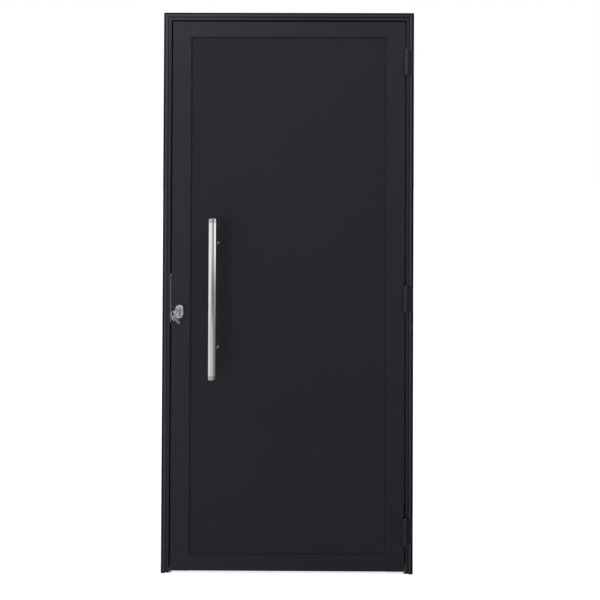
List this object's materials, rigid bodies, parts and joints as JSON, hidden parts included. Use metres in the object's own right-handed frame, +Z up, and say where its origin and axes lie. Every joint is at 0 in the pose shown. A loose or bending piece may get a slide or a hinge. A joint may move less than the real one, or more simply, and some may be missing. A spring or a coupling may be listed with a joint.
{
  "type": "door with frame",
  "caption": "Flush aluminium plank door in its slim frame, with butt hinges, a long tubular pull bar, and a cylinder lock with deadbolt and roller latch.",
  "frame": {"origin": "on the floor, midway across the frame and midway between the front of the pull bar and the frame's back", "axes": "+X along the wall to the hinge side, +Y through the wall away from the pull bar, +Z up"},
  "size_m": [0.964, 0.1256, 2.148],
  "materials": {
    "paint": "satin",
    "panel_paint": "satin",
    "hinge_paint": "satin",
    "rubber": "matte",
    "bare_aluminium": "satin",
    "stainless": "polished",
    "lock_steel": "satin",
    "chrome": "polished",
    "brass": "polished"
  },
  "bodies": {
    "frame": {"lock_jamb": "paint", "hinge_jamb": "paint", "head": "paint", "corner_cleats": "bare_aluminium", "frame_seals": "rubber", "strike_plate": "stainless", "strike_screws": "stainless", "hinge_frame_wing_bottom": "hinge_paint", "hinge_frame_wing_middle": "hinge_paint", "hinge_frame_wing_top": "hinge_paint", "hinge_pins": "hinge_paint", "hinge_frame_screws": "hinge_paint"},
    "leaf": {"lock_stile": "paint", "hinge_stile": "paint", "top_rail": "paint", "bottom_rail": "paint", "plank_01": "panel_paint", "plank_02": "panel_paint", "plank_03": "panel_paint", "plank_04": "panel_paint", "plank_05": "panel_paint", "plank_06": "panel_paint", "plank_07": "panel_paint", "plank_08": "panel_paint", "plank_09": "panel_paint", "plank_10": "panel_paint", "plank_11": "panel_paint", "bead_lock_side": "paint", "bead_hinge_side": "paint", "bead_top": "paint", "bead_bottom": "paint", "panel_gaskets": "rubber", "rail_screws": "stainless", "access_plugs": "rubber", "hinge_leaf_wing_bottom": "hinge_paint", "hinge_leaf_wing_middle": "hinge_paint", "hinge_leaf_wing_top": "hinge_paint", "hinge_leaf_screws": "hinge_paint", "pull_bar": "stainless", "bar_caps": "stainless", "upper_post": "stainless", "lower_post": "stainless", "handle_bolts": "stainless", "lock_case": "lock_steel", "lock_cover": "lock_steel", "forend": "stainless", "forend_screws": "stainless", "cylinder_body": "chrome", "cylinder_screw": "stainless", "escutcheon_front": "chrome", "escutcheon_back": "chrome", "latch_spring": "stainless"},
    "bolt": {"deadbolt": "stainless"},
    "latch": {"latch_carriage": "lock_steel", "roller_pin": "stainless"},
    "roller": {"latch_roller": "brass"},
    "plug": {"cylinder_plug": "brass", "key": "chrome", "key_ring": "stainless", "spare_key": "chrome"}
  },
  "joints": [
    {"name": "leaf_swing", "type": "hinge", "parent": "frame", "child": "leaf", "pos_m": [0.4505, 0.00185, 1.05], "axis": [0, 0, 1], "range_deg": [0, 170]},
    {"name": "key_turn", "type": "hinge", "parent": "leaf", "child": "plug", "pos_m": [-0.416, 0.02635, 1.006], "axis": [0, -1, 0], "range_deg": [0, 360]},
    {"name": "bolt_throw", "type": "slide", "parent": "leaf", "child": "bolt", "axis": [-1, 0, 0], "range_m": [0, 0.02]},
    {"name": "latch_slide", "type": "slide", "parent": "leaf", "child": "latch", "axis": [1, 0, 0], "range_m": [0, 0.0026], "stiffness_N_per_m": 900, "springref_m": -0.003, "deforming": ["latch_spring"]},
    {"name": "roller_spin", "type": "hinge", "parent": "latch", "child": "roller", "pos_m": [-0.4446, 0.02635, 1.086], "axis": [0, 0, 1], "continuous": true}
  ],
  "couplings": [
    {"joint": "key_turn", "follows": "bolt_throw", "rad_per_m": 314}
  ]
}
